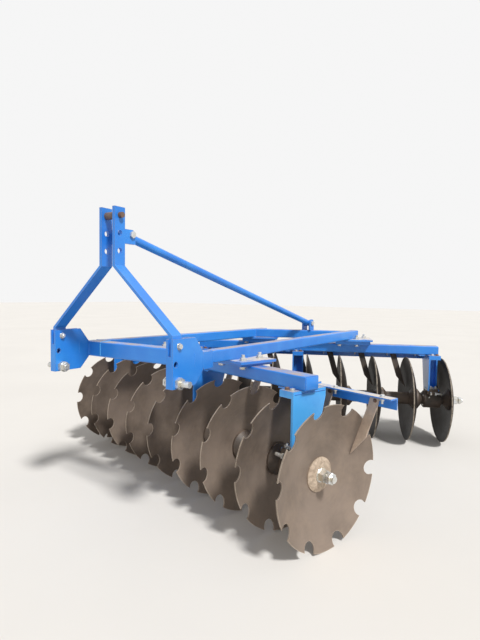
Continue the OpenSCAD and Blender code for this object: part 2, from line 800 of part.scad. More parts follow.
front_cross_beam();
left_side_beam();
right_side_beam();
rear_cross_beam();
left_hitch_bracket();
right_hitch_bracket();
left_hitch_pin();
right_hitch_pin();
left_mast_leg();
right_mast_leg();
mast_sleeve();
brace_tube();
brace_bolts();
brace_lug();
front_gang_beam();
rear_gang_beam();
upper_clamp_plates();
lower_clamp_plates();
front_hangers();
rear_hangers();
front_bearings();
rear_bearings();
front_scraper_bar();
rear_scraper_bar();
front_scrapers();
rear_scrapers();
front_discs();
front_spools();
front_bearing_spools();
front_axle();
front_end_washers();
front_axle_nuts();
rear_discs();
rear_spools();
rear_bearing_spools();
rear_axle();
rear_end_washers();
rear_axle_nuts();
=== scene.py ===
"""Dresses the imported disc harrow: bolts, welds, caps, paint, steel and dust, with its stage."""

import json
import math

import bmesh
import bpy
from bpy.props import FloatProperty, FloatVectorProperty, IntProperty, PointerProperty
from mathutils import Matrix, Vector


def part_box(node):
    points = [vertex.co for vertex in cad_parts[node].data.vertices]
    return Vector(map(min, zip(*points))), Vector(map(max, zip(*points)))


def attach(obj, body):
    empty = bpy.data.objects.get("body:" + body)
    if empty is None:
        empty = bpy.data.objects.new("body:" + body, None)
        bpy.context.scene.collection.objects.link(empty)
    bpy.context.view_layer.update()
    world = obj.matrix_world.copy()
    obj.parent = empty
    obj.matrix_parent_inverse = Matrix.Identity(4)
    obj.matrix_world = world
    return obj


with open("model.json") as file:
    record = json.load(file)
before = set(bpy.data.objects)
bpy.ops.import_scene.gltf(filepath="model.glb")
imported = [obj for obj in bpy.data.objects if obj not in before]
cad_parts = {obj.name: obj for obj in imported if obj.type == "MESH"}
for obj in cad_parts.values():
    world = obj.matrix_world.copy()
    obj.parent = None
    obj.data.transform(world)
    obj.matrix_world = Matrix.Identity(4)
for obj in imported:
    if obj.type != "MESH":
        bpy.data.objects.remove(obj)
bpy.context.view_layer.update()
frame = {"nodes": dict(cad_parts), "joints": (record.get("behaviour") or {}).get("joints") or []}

bl_info = {
    "name": "Disc Harrow",
    "version": (1, 0, 0),
    "blender": (4, 5, 0),
    "location": "View3D > Sidebar > Harrow",
    "description": "Fits bolts, welds, paint and worn steel to the harrow's frame and gangs",
    "category": "Object",
}

UP = Vector((0, 0, 1))

# Sizes shared with the solids, in metres, and the side beams' leans in degrees
DISH = 0.062
DISC_T = 0.006
DISC_PITCH = 0.245
AXLE_Z = 0.305
AXLE_END_R = 0.015
AXLE_FACE = 0.016
NUT_H = 0.034
THREAD_OUT = 0.038
BEAM_BACK = 0.014
BEAM_W = 0.086
BEAM_H = 0.064
BEAM_PAST = {"front": 0.020, "rear": -0.008}
CLAMP_T = 0.013
UPPER_CLAMP_L = 0.230
FRAME_TOP = 0.798
SIDE_W = 0.060
SIDE_Z = FRAME_TOP - SIDE_W
SIDE_PAST = 0.045
SIDE_LEAN = {"left": 3.0, "right": 7.5}
REAR_PACKING = 0.012
BEAM_LOW = SIDE_Z - 2 * CLAMP_T - BEAM_H
HANGER_W = 0.080
HANGER_ASIDE = 0.006
HANGER_X = -DISH - (DISC_PITCH - DISC_T) / 2 + HANGER_ASIDE
HANGER_FRONT = 0.080
HANGER_BACK = 0.132
HANGER_SET_BACK = 0.084
HANGER_FLANGE = 0.012
HOUSING_TOP = 0.072
HOUSING_R = 0.062
HOUSING_L = 0.110
FOOT_W = 0.130
SCRAPER_BACK = 0.220
ANGLE_T = 0.006
ANGLE_LEG = 0.050
SCRAPER_T = 0.008
SCRAPER_W = 0.045
ARM_T = 0.008
ARM_W = 0.040
BRACKET_OUT = 0.3965
BRACKET_IN = 0.3611
PIN_NUT = 0.020
CROSS_Y = 0.168
CROSS_W = 0.075
CROSS_H = 0.078

# The discs with a bearing beside them, counted from the near end
BEARINGS = (0, 3, 7)

# Proportions of a bolt, as shares of its thread size
WASHER_R, WASHER_T = 1.05, 0.16
HEAD_FLATS, HEAD_H = 1.55, 0.72
STUB_R, STUB_FROM, STUB_EDGE = 0.5, 0.7, 0.08

# Broken corners, as shares of a washer's or hexagon's thickness
WASHER_EDGE, HEX_EDGE = 0.3, 0.16

# A weld bead's waist, step and swell, as shares of its radius
BEAD_WAIST, BEAD_STEP, BEAD_SWELL = 0.7, 0.9, 1.3

# The bolts in the clamp plates, hangers, scrapers and arms
CLAMP_BOLT_REACH = {"front": 0.084, "rear": 0.062}
CLAMP_BOLT_RUN = 0.072
HANGER_BOLT_X, RUSTY_BOLT_X = 0.013, -0.019
HANGER_BOLT_FRONT, HANGER_BOLT_BACK = 0.026, 0.034
SCRAPER_BOLT_DOWN = 0.020
CLIP_ASIDE, CLIP_BACK = 0.045, 0.004
ARM_BOLT_BACK = 0.020

# The bearing: foot bolts, a lug and an ear at its foot's front edge, and their clamp bolt
FOOT_BOLT_X = (-0.018, 0.014)
FOOT_BOLT_IN = 0.018
LUG_AT, LUG_SIZE = (-0.002, -0.001, -0.002), (0.062, 0.014, 0.034)
EAR_AT, EAR_SIZE = (0.004, -0.008, -0.016), (0.022, 0.024, 0.026)
CAST_EDGE = 0.003
ROD_AT, ROD_R, ROD_L = (-0.007, -0.013, -0.017), 0.0085, 0.050
ROD_FLATS, ROD_NUT_H, ROD_HEAD_H, ROD_GRIP = 0.024, 0.014, 0.010, 0.022

# The bearing: end rings with their screws, and a grease nipple
RING_SHARE, RING_T = 0.72, 0.0105
SCREW_CIRCLE, SCREW_OUT, SCREW_FLATS, SCREW_H = 0.049, 0.006, 0.010, 0.0045
NIPPLE_X, NIPPLE_FRONT, NIPPLE_UP, NIPPLE_TILT = 0.026, 0.92, 0.36, 0.4
NIPPLE_FLATS, NIPPLE_HEX_H = 0.011, 0.008
NIPPLE_R, NIPPLE_TOP_R, NIPPLE_H = 0.0036, 0.0028, 0.009

# The mast legs' bolts, and inside each bracket the lower pin's washer, lock nut and thread
LEG_BOLT_BACK, LEG_BOLT_Z = 0.002, 0.837
PIN_WASHER_R, PIN_WASHER_T = 0.0255, 0.004
PIN_LOCK_FLATS, PIN_LOCK_H = 0.041, 0.011
PIN_THREAD_R, PIN_THREAD_L, PIN_THREAD_FROM = 0.0125, 0.005, 0.014

# The axles' threads, lock nuts and the nuts' washer faces
THREAD_PITCH, THREAD_DEPTH = 0.003, 0.0012
THREAD_FROM, THREAD_SPARE = 0.001, 0.006
FACE_R, FACE_T, FACE_SUNK = 0.031, 0.0035, 0.0005
LOCK_NUT_FLATS, LOCK_NUT_H, LOCK_NUT_OUT = 0.046, 0.019, 0.043

# How far beads stop short of a corner, and how deep they sink into a face
WELD_SHORT, WELD_SUNK = 0.008, 0.001
BRACKET_WELD_BACK, BRACKET_WELD_Z = 0.105, (0.742, 0.800)
SEAM_ASIDE = -0.273

# The beams' end caps stand in from the beams' sides, with broken edges
CAP_IN, CAP_EDGE = 0.009, 0.0012

# The camera as fitted to the photograph, in degrees, pixels and metres
YAW, PITCH, ROLL = -32.56, 3.09, 0.87
FOCAL_PIXELS, PHOTO_H, SENSOR = 471.2, 640, 36.0
CAMERA_X, CAMERA_Y, CAMERA_Z = 1.6525, -1.5004, 1.056

# The studio: the light of the world, the white that the camera sees, and the lamps
WORLD_LIGHT, WORLD_WHITE = 0.42, 0.92
LAMPS = (
    ("key light", (0.575, -0.256, 0.777), 3.3, 9),
    ("fill light", (-0.35, -0.9, 0.5), 0.16, 60),
)
FLOOR_SIZE = 40.0


# Places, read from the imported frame

def box_centre(node):
    lo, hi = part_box(node)
    return (lo + hi) / 2


def hitch_centre():
    """The middle of the lower pins' axis."""
    return (box_centre("left_hitch_pin") + box_centre("right_hitch_pin")) / 2


class Gang:
    """One gang's own frame: along its axle to the dished side, back, and up."""

    def __init__(self, name, towards, packing):
        joint = next(j for j in frame["joints"] if j["name"] == name + "_gang_turn")
        self.name = name
        self.origin = Vector(joint["pos_m"])
        along = Vector(joint["axis"]).normalized()
        self.along = along if along.x * towards > 0 else -along
        back = Vector((-self.along.y, self.along.x, 0))
        self.back = back if back.y > 0 else -back
        self.axes = (self.along, self.back, UP)
        self.beam_low = BEAM_LOW - packing
        self.beam_top = self.beam_low + BEAM_H
        self.hanger_top = self.beam_low - AXLE_Z

    def at(self, x, y, z):
        return self.origin + self.along * x + self.back * y + UP * z


def gangs():
    return [Gang("front", 1, 0.0), Gang("rear", -1, REAR_PACKING)]


def disc_x(i):
    return ((sizes().disc_count - 1) / 2 - i) * sizes().disc_pitch


def hanger_places():
    """Each gang with the place of each of its hangers along the axle."""
    return [(gang, disc_x(i) + HANGER_X) for gang in gangs() for i in BEARINGS]


def crossings():
    """Where side beams cross gang beams: the place, the gang, and the side beam's run and lean."""
    hitch = hitch_centre()
    found = []
    for gang in gangs():
        line = gang.origin + gang.back * BEAM_BACK
        for side, sign in (("left", 1), ("right", -1)):
            lean = math.radians(SIDE_LEAN[side])
            start = Vector((hitch.x + sign * (BRACKET_OUT - SIDE_W / 2),
                            hitch.y + CROSS_Y + CROSS_W, 0))
            run = Vector((math.sin(lean), math.cos(lean), 0))
            a, b = gang.along, line - start
            s = (a.x * b.y - a.y * b.x) / (a.x * run.y - a.y * run.x)
            found.append((start + run * s, gang, run, lean))
    return found


# Meshes

def facing(direction):
    """A turn that takes Z to a direction."""
    return Vector(direction).to_track_quat("Z", "Y").to_matrix().to_4x4()


def standing(foot, direction, height):
    """The matrix of a shape of that height that stands on a foot and points in a direction."""
    direction = Vector(direction).normalized()
    return Matrix.Translation(Vector(foot) + direction * height / 2) @ facing(direction)


def chamfer(bm, edges, offset, segments=1):
    bmesh.ops.bevel(bm, geom=edges, offset=offset, offset_type="OFFSET", segments=segments,
                    profile=0.5, affect="EDGES", material=-1, clamp_overlap=True)


def join(bm, part):
    """Adds a finished small part to the piece's bmesh."""
    mesh = bpy.data.meshes.new("part")
    part.to_mesh(mesh)
    part.free()
    bm.from_mesh(mesh)
    bpy.data.meshes.remove(mesh)


def add_round(bm, foot, direction, radius, height, segments=20, edge=0.0, top=None):
    """A turned piece on a foot, its outer corner broken."""
    part = bmesh.new()
    bmesh.ops.create_cone(
        part, cap_ends=True, cap_tris=False, segments=segments, radius1=radius,
        radius2=radius if top is None else top, depth=height,
        matrix=standing(foot, direction, height))
    if edge:
        axis = Vector(direction).normalized()
        far = Vector(foot) + axis * height
        near_top = height * 0.01
        chamfer(part, [e for e in part.edges
                       if all(abs((v.co - far).dot(axis)) < near_top for v in e.verts)], edge)
    join(bm, part)


def add_hex(bm, foot, direction, flats, height):
    """A hexagon with its outer corners broken, as on a bolt head or nut."""
    add_round(bm, foot, direction, flats / math.sqrt(3), height, segments=6,
              edge=height * HEX_EDGE)


def add_bolt(bm, foot, direction, size, end=0.0):
    """A washer and a hexagon, with a thread's end standing out of it if asked for."""
    direction = Vector(direction).normalized()
    washer_t = size * WASHER_T
    add_round(bm, foot, direction, size * WASHER_R, washer_t, segments=24,
              edge=washer_t * WASHER_EDGE)
    add_hex(bm, foot + direction * washer_t, direction, size * HEAD_FLATS, size * HEAD_H)
    if end:
        add_round(bm, foot + direction * (washer_t + size * STUB_FROM), direction,
                  size * STUB_R, end, segments=12, edge=size * STUB_EDGE)


def add_box(bm, centre, axes, extents, edge):
    """A block on three axes, its edges broken."""
    turn = Matrix([a.normalized() for a in axes]).transposed().to_4x4()
    scale = Matrix.Diagonal((*extents, 1))
    part = bmesh.new()
    bmesh.ops.create_cube(part, size=1, matrix=Matrix.Translation(centre) @ turn @ scale)
    chamfer(part, part.edges[:], edge, 2)
    join(bm, part)


def add_bead(bm, start, end, radius):
    """A weld bead from start to end, rippled as a hand weld is."""
    run = Vector(end) - Vector(start)
    steps = max(4, int(run.length / (radius * BEAD_STEP)))
    part = bmesh.new()
    bmesh.ops.create_circle(part, cap_ends=True, segments=8, radius=radius * BEAD_WAIST,
                            matrix=Matrix.Translation(start) @ facing(run))
    first, tip = part.edges[:], part.faces[:]
    centre = Vector(start)
    for k in range(steps):
        # a face, because extruded edges come in another order from run to run
        tip = bmesh.ops.extrude_discrete_faces(part, faces=tip)["faces"]
        verts = tip[0].verts[:]
        bmesh.ops.translate(part, verts=verts, vec=run / steps)
        centre = centre + run / steps
        factor = BEAD_SWELL if k % 2 == 0 else 1 / BEAD_SWELL
        bmesh.ops.scale(part, verts=verts, vec=(factor,) * 3, space=Matrix.Translation(-centre))
    bmesh.ops.contextual_create(part, geom=first)
    join(bm, part)


def piece(name, bm, material, body, smooth_angle=35):
    """Puts a bmesh into the scene as a piece that rides on a body."""
    bmesh.ops.recalc_face_normals(bm, faces=bm.faces)
    mesh = bpy.data.meshes.new(name)
    bm.to_mesh(mesh)
    bm.free()
    mesh.materials.append(material)
    obj = bpy.data.objects.new(name, mesh)
    bpy.context.scene.collection.objects.link(obj)
    for f in mesh.polygons:
        f.use_smooth = True
    sharp = mesh.attributes.new("sharp_edge", "BOOLEAN", "EDGE")
    mark_sharp(mesh, sharp, math.radians(smooth_angle))
    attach(obj, body)


def mark_sharp(mesh, sharp, angle):
    """Marks the edges that turn by more than an angle, so that flats stay flat."""
    bm = bmesh.new()
    bm.from_mesh(mesh)
    flags = [len(e.link_faces) != 2 or e.calc_face_angle(0) > angle for e in bm.edges]
    bm.free()
    sharp.data.foreach_set("value", flags)


# Node groups and materials

def linear(colour):
    """A display colour as the linear value that a socket takes."""
    return tuple(c / 12.92 if c <= 0.04045 else ((c + 0.055) / 1.055) ** 2.4
                 for c in colour[:3]) + (1.0,)


class Tree:
    """Short hands for making and linking nodes in one tree."""

    def __init__(self, tree):
        self.tree = tree

    def node(self, kind, values=None, **settings):
        made = self.tree.nodes.new(kind)
        for key, value in settings.items():
            setattr(made, key, value)
        for key, value in (values or {}).items():
            self.give(made.inputs[key], value)
        return made

    def give(self, socket, value):
        """Links a socket to another one, or sets its value."""
        if isinstance(value, bpy.types.NodeSocket):
            self.tree.links.new(value, socket)
        else:
            socket.default_value = value

    def maths(self, operation, a, b, clamp=False):
        made = self.node("ShaderNodeMath", {0: a, 1: b}, operation=operation, use_clamp=clamp)
        return made.outputs[0]

    def times(self, a, b):
        return self.maths("MULTIPLY", a, b)

    def plus(self, a, b, clamp=False):
        return self.maths("ADD", a, b, clamp)

    def minus(self, a, b):
        return self.maths("SUBTRACT", a, b)

    def vector(self, operation, a, b=(0, 0, 0)):
        made = self.node("ShaderNodeVectorMath", {0: a, 1: b}, operation=operation)
        return made.outputs["Value"] if operation in ("DOT_PRODUCT", "LENGTH") else made.outputs[0]

    def spread(self, value, low, high):
        """A value's range low to high, taken to 0 to 1."""
        return self.node("ShaderNodeMapRange", {"Value": value, "From Min": low, "From Max": high},
                         interpolation_type="SMOOTHSTEP").outputs["Result"]

    def mix(self, factor, a, b):
        made = self.node("ShaderNodeMix", {0: factor}, data_type="RGBA")
        for name, value in (("A", a), ("B", b)):
            self.give(next(s for s in made.inputs if s.name == name and s.type == "RGBA"), value)
        return next(s for s in made.outputs if s.type == "RGBA")

    def over(self, base, mask, strength, colour):
        """A colour laid over a base where a mask is, at a strength."""
        return self.mix(self.times(mask, strength), base, colour)

    def noise(self, place, scale, detail=4.0, roughness=0.55):
        return self.node("ShaderNodeTexNoise", {
            "Vector": place, "Scale": scale, "Detail": detail,
            "Roughness": roughness}).outputs["Fac"]


def object_place(t):
    return t.node("ShaderNodeTexCoord").outputs["Object"]


def surface_normal(t):
    return t.node("ShaderNodeNewGeometry").outputs["Normal"]


def group(name, inputs, outputs, fill):
    """Makes a node group once, with named inputs and outputs."""
    if name in bpy.data.node_groups:
        return bpy.data.node_groups[name]
    tree = bpy.data.node_groups.new(name, "ShaderNodeTree")
    for label, value in inputs.items():
        socket = tree.interface.new_socket(label, in_out="INPUT", socket_type="NodeSocketFloat")
        socket.default_value = value
    for label in outputs:
        tree.interface.new_socket(label, in_out="OUTPUT", socket_type="NodeSocketFloat")
    start = tree.nodes.new("NodeGroupInput")
    end = tree.nodes.new("NodeGroupOutput")
    for label, value in zip(outputs, fill(Tree(tree), start.outputs)):
        tree.links.new(value, end.inputs[label])
    return tree


def fill_patches(t, given):
    """Broad noise broken up by a finer one, cut off where it leaves the wanted share."""
    place = object_place(t)
    broad = t.noise(place, given["Scale"])
    fine = t.noise(place, t.times(given["Scale"], 6.5), detail=6.0, roughness=0.65)
    both = t.plus(t.times(broad, 0.65), t.times(fine, 0.35))
    cut = t.minus(1.0, given["Share"])
    softness = given["Softness"]
    return [t.spread(both, t.minus(cut, softness), t.plus(cut, softness))]


def fill_worn_edge(t, given):
    """The turn between the real and an eased normal, ragged for what is worn through."""
    eased = t.node("ShaderNodeBevel", {"Radius": given["Radius"]}, samples=4).outputs["Normal"]
    turned = t.minus(1.0, t.vector("DOT_PRODUCT", surface_normal(t), eased))
    ragged = t.times(t.noise(object_place(t), 85.0, detail=5.0, roughness=0.7), 2.0)
    strength = t.times(t.times(turned, ragged), given["Wear"])
    return [t.spread(strength, 0.05, 0.22), t.spread(turned, 0.0, 0.12)]


def fill_settled_dust(t, given):
    """Dust that lies on level faces, away from their edges, and a thin film everywhere."""
    place = object_place(t)
    normal = surface_normal(t)
    eased = t.node("ShaderNodeBevel", {"Radius": 0.009}, samples=6).outputs["Normal"]
    inside = t.spread(t.vector("DOT_PRODUCT", normal, eased), 0.93, 1.0)
    level = t.spread(t.node("ShaderNodeSeparateXYZ", {0: normal}).outputs["Z"], 0.74, 0.98)
    broken = t.spread(t.noise(place, given["Scale"], detail=6.0, roughness=0.6), 0.3, 0.62)
    film = t.times(t.noise(place, 3.0, detail=3.0), given["Film"])
    top = t.times(t.times(t.times(inside, level), broken), given["Amount"])
    return [t.plus(top, film, clamp=True)]


def patches(t, scale, share, softness=0.06):
    """A ragged mask that covers about a share of the surface."""
    tree = group("Patches", {"Scale": 10.0, "Share": 0.4, "Softness": 0.06}, ["Mask"],
                 fill_patches)
    given = {"Scale": scale, "Share": share, "Softness": softness}
    return t.node("ShaderNodeGroup", given, node_tree=tree).outputs["Mask"]


def worn_edge(t, radius, wear):
    """Both masks of an edge: Mask where it is worn through, Soft all along it."""
    tree = group("Worn Edge", {"Radius": 0.003, "Wear": 1.0}, ["Mask", "Soft"], fill_worn_edge)
    return t.node("ShaderNodeGroup", {"Radius": radius, "Wear": wear}, node_tree=tree).outputs


def settled_dust(t, scale, amount, film):
    tree = group("Settled Dust", {"Scale": 14.0, "Amount": 0.8, "Film": 0.1}, ["Mask"],
                 fill_settled_dust)
    given = {"Scale": scale, "Amount": amount, "Film": film}
    return t.node("ShaderNodeGroup", given, node_tree=tree).outputs["Mask"]


def finish_material(name, metallic, rough, fill, bump=0.3, distance=0.0006, coat=0.0,
                    specular=0.5):
    """A material whose fill gives its colour, where it is rougher, and a height."""
    if name in bpy.data.materials:
        return bpy.data.materials[name]
    material = bpy.data.materials.new(name)
    material.use_nodes = True
    t = Tree(material.node_tree)
    shader = material.node_tree.nodes["Principled BSDF"]
    for label, value in (("Metallic", metallic), ("Coat Weight", coat),
                         ("Coat Roughness", 0.25), ("Specular IOR Level", specular)):
        shader.inputs[label].default_value = value
    colour, tone, height = fill(t)
    roughness = t.node("ShaderNodeMapRange", {
        "Value": tone, "To Min": rough[0], "To Max": rough[1]}).outputs["Result"]
    relief = t.node("ShaderNodeBump", {
        "Strength": bump, "Distance": distance, "Height": height}).outputs["Normal"]
    for label, value in (("Base Color", colour), ("Roughness", roughness), ("Normal", relief)):
        t.give(shader.inputs[label], value)
    return material


def colours():
    return bpy.context.scene.harrow_colours


def blue_paint(name="frame blue paint", settled=0.85, film=0.05, top_tint=None, bleached=0.0,
               end_of=None):
    """The frame's paint under its dust, with painted sunlight laid on as asked, or only at the end
    of a gang, and a painted highlight along its edges.
    """
    c = colours()

    def fill(t):
        place = object_place(t)
        thin = t.spread(t.noise(place, 2.2, detail=3.0), 0.3, 0.7)
        shade = t.mix(thin, linear(c.paint_deep), linear(c.paint))
        faded = t.over(shade, patches(t, 9.0, 0.42, 0.12), 0.3, linear(c.paint_faded))
        # painted sunlight: paler paint in patches, in the share that bleached gives, where the sun
        # lights a face
        sunlit = t.times(t.spread(t.noise(place, 4.5), 0.25, 0.6), bleached)
        if end_of:
            sunlit = t.times(sunlit, t.spread(axle_place(t, end_of)[1], 0.4, 0.7))
        pale = t.mix(sunlit, faded, linear(c.painted_sunlight))
        scuffs = patches(t, 46.0, 0.27, 0.02)
        scuffed = t.over(pale, scuffs, 0.14, linear(c.primer))
        edge = worn_edge(t, radius=0.0025, wear=0.7)
        chips = edge["Mask"]
        # painted highlight: the paint made paler all along every edge
        highlighted = t.over(scuffed, edge["Soft"], 0.45, linear(c.paint_highlight))
        chipped = t.mix(chips, highlighted, linear(c.rust))
        # dust on level faces in the given top tint; on the bars it is pale dust with a painted
        # glare
        dust = settled_dust(t, 13.0, settled, film)
        colour = t.mix(dust, chipped, linear(top_tint or c.dust))
        tone = t.plus(t.times(dust, 0.6), t.times(chips, 0.4), clamp=True)
        peel = t.times(t.noise(place, 420.0, detail=2.0), 0.25)
        height = t.minus(peel, t.plus(chips, t.times(scuffs, 0.2)))
        return colour, tone, height

    return finish_material(name, 0.0, (0.32, 0.85), fill, coat=0.2)


def axle_place(t, gang):
    """A point's distance from a gang's axle, and its place along it."""
    place = t.vector("SUBTRACT", object_place(t), tuple(gang.origin))
    along = t.vector("DOT_PRODUCT", place, tuple(gang.along))
    axis = t.node("ShaderNodeVectorMath", {0: tuple(gang.along), "Scale": along},
                  operation="SCALE").outputs[0]
    return t.vector("LENGTH", t.vector("SUBTRACT", place, axis)), along


def disc_steel(name, gang, tints, look):
    """Rolled disc steel: a body in two tones, faint rings, a worn rim and dried soil."""
    c = colours()
    base, deep, rim = (linear(v) for v in tints)

    def fill(t):
        place = object_place(t)
        radius, along = axle_place(t, gang)
        rings = t.node("ShaderNodeCombineXYZ", {"X": radius, "Y": t.times(along, 2.0)}).outputs[0]
        rolled = t.noise(rings, 70.0, detail=2.0, roughness=0.5)
        broad = t.spread(t.noise(place, 2.6, detail=5.0, roughness=0.6), 0.3, 0.7)
        body = t.mix(broad, deep, base)
        ringed = t.over(body, t.spread(rolled, 0.35, 0.7), look["rings"], rim)
        speckle = patches(t, 85.0, 0.3, 0.03)
        rusted = t.over(ringed, speckle, look["speckle"], linear(c.rust))
        soil = patches(t, 6.0, 0.46, 0.14)
        soiled = t.over(rusted, soil, look["soil"], linear(c.dust))
        broken = t.spread(t.noise(place, 30.0), 0.3, 0.6)
        band = t.times(t.spread(radius, look["band_from"], look["band_to"]), broken)
        banded = t.over(soiled, band, look["band"], rim)
        colour = t.over(banded, worn_edge(t, radius=0.003, wear=1.2)["Mask"], 0.75, rim)
        tone = t.plus(t.times(soil, 0.6), t.times(speckle, 0.3), clamp=True)
        height = t.plus(t.times(rolled, 0.08), t.times(speckle, -0.3))
        return colour, tone, height

    return finish_material(name, look["metal"], look["rough"], fill, bump=0.25, distance=0.0004,
                           specular=look["sheen"])


def cast_black():
    """Castings in thin black paint over sand cast iron, dusty, with rust along their edges."""
    c = colours()

    def fill(t):
        place = object_place(t)
        broad = t.spread(t.noise(place, 9.0), 0.3, 0.7)
        body = t.mix(broad, linear(c.black), linear(c.black_worn))
        dust = settled_dust(t, 20.0, amount=0.5, film=0.12)
        dusty = t.mix(dust, body, linear(c.dust))
        edge = worn_edge(t, radius=0.004, wear=0.9)["Mask"]
        colour = t.over(dusty, edge, 0.7, linear(c.rust))
        sand = t.noise(place, 300.0, detail=3.0, roughness=0.6)
        return colour, dust, t.plus(sand, t.times(broad, 0.3))

    return finish_material("black cast iron", 0.1, (0.5, 0.85), fill, bump=0.5, distance=0.0008)


def zinc_plate():
    """Zinc plate with its spangle, here and there yellow or dull, and rust along its edges."""
    c = colours()

    def fill(t):
        place = object_place(t)
        spangle = t.node("ShaderNodeTexVoronoi", {"Vector": place, "Scale": 240.0})
        yellow = t.spread(t.noise(place, 30.0, detail=3.0), 0.3, 0.7)
        tint = t.mix(yellow, linear(c.zinc), linear(c.zinc_yellow))
        dull = patches(t, 45.0, 0.4, 0.08)
        dusty = t.over(tint, dull, 0.16, linear(c.dust))
        edge = worn_edge(t, radius=0.0015, wear=0.8)["Mask"]
        colour = t.over(dusty, edge, 0.5, linear(c.rust))
        return colour, dull, spangle.outputs["Distance"]

    return finish_material("zinc plate", 0.6, (0.26, 0.5), fill, bump=0.2, distance=0.0003)


def rusty_steel(name, pale, deep, stains=(34.0, 0.4, 0.35)):
    """Bare steel in two tones with rust pits, and stains of a scale, share and strength."""
    c = colours()

    def fill(t):
        place = object_place(t)
        broad = t.spread(t.noise(place, 16.0, detail=6.0, roughness=0.65), 0.3, 0.7)
        body = t.mix(broad, linear(deep), linear(pale))
        pits = patches(t, 110.0, 0.32, 0.04)
        stain_scale, stain_share, stain_strength = stains
        spots = patches(t, stain_scale, stain_share, 0.05)
        stained = t.over(body, spots, stain_strength, linear(c.soil))
        pitted = t.over(stained, pits, 0.4, linear(c.rust))
        edge = worn_edge(t, radius=0.002, wear=1.0)["Mask"]
        edged = t.over(pitted, edge, 0.6, linear(c.rust))
        dust = settled_dust(t, 20.0, amount=0.4, film=0.2)
        colour = t.mix(dust, edged, linear(c.dust))
        return colour, t.plus(pits, dust, clamp=True), t.times(pits, -1.0)

    return finish_material(name, 0.15, (0.5, 0.85), fill, bump=0.4, distance=0.0005)


def rust():
    return rusty_steel("rusty sleeve steel", colours().bare_steel, colours().rust)


# Settings

def length(name, description, value, low, high):
    return FloatProperty(name=name, description=description, default=value, min=low, max=high,
                         unit="LENGTH", subtype="DISTANCE")


def tint(name, description, value):
    return FloatVectorProperty(
        name=name, description=description, default=tuple(v / 255 for v in value),
        min=0.0, max=1.0, size=3, subtype="COLOR_GAMMA")


class HarrowColours(bpy.types.PropertyGroup):
    """Colours of the harrow's finishes, as displayed."""
    paint: tint("Paint", "The frame's blue paint", (36, 136, 226))
    paint_deep: tint("Paint, deep", "The paint where it lies thick", (28, 120, 212))
    paint_faded: tint("Paint, faded", "The paint where the sun has bleached it", (66, 160, 236))
    # painted sunlight on the near front hanger's lit face and on the seam
    painted_sunlight: tint("Paint, painted sunlight", "Sunlit paint on front hangers, seam", (84, 184, 250))
    primer: tint("Primer", "What shows where the paint is scuffed", (120, 156, 188))
    # painted highlight along the paint's edges
    paint_highlight: tint("Paint, rubbed", "The paint along its rubbed edges", (150, 198, 244))
    rust: tint("Rust", "Rust at chips and edges", (110, 74, 52))
    dust: tint("Dust", "Dust and dried soil", (178, 158, 138))
    # pale dust on the tops, partly a painted glare
    pale_dust_and_glare: tint("Pale dust", "Pale dust on scraper bars and clamp plates", (208, 199, 189))
    soil: tint("Soil stain", "Soil dried dark on bare steel", (120, 104, 88))
    front_disc: tint("Front disc", "The bronze brown of the front discs", (137, 122, 110))
    front_disc_deep: tint("Front disc, deep", "The front discs' darker areas", (102, 90, 80))
    front_rim: tint("Front rim", "The front discs' worn rims", (200, 184, 164))
    rear_disc: tint("Rear disc", "The black brown of the rear discs", (38, 30, 25))
    rear_disc_deep: tint("Rear disc, deep", "The rear discs' darker areas", (15, 13, 13))
    rear_rim: tint("Rear rim", "The rear discs' worn rims", (190, 176, 158))
    black: tint("Black", "The castings' black paint", (40, 38, 37))
    black_worn: tint("Black, worn", "The castings where the paint is thin", (84, 71, 61))
    zinc: tint("Zinc", "Zinc plated bolts", (216, 220, 224))
    zinc_yellow: tint("Zinc, yellow", "Zinc plate with a yellow tinge", (202, 196, 180))
    bare_steel: tint("Bare steel", "Bare steel under its rust", (104, 86, 78))
    # the front scrapers' tints: dusty steel, made paler as painted sunlight
    scraper: tint("Scraper", "The front scrapers' dusty steel", (210, 190, 171))
    scraper_deep: tint("Scraper, deep", "The front scrapers' darker areas", (184, 165, 149))
    washer: tint("Washer", "The front end washers' dusty steel", (212, 194, 172))
    washer_deep: tint("Washer, deep", "The front end washers' darker areas", (176, 156, 136))
    floor: tint("Floor", "The pale floor", (222, 218, 212))


class HarrowSizes(bpy.types.PropertyGroup):
    """Sizes of the fittings that the scene adds to the frame."""
    clamp_bolt: length("Clamp bolt", "Thread size of the clamp bolts", 0.018, 0.012, 0.024)
    hanger_bolt: length("Hanger bolt", "Thread size of the hanger bolts", 0.012, 0.01, 0.02)
    foot_bolt: length("Foot bolt", "Thread size of the bearing foot bolts", 0.016, 0.012, 0.024)
    scraper_bolt: length("Scraper bolt", "Thread size of the scraper bolts", 0.012, 0.008, 0.016)
    bracket_bolt: length("Bracket bolt", "Thread size of the bracket bolts", 0.014, 0.012, 0.024)
    bead: length("Weld bead", "Radius of the weld beads", 0.004, 0.002, 0.008)
    cap: length("End cap", "Thickness of the beams' end caps", 0.004, 0.002, 0.008)
    disc_count: IntProperty(name="Discs", description="Discs on each gang", default=9,
                            min=7, max=10)
    disc_pitch: length("Disc pitch", "Distance from disc to disc", DISC_PITCH, 0.24, 0.265)


def sizes():
    return bpy.context.scene.harrow_sizes


# Operators, one for each group of like pieces

def finish_node(name, material):
    """Gives a CAD node its material."""
    obj = frame["nodes"][name]
    obj.data.materials.clear()
    obj.data.materials.append(material)


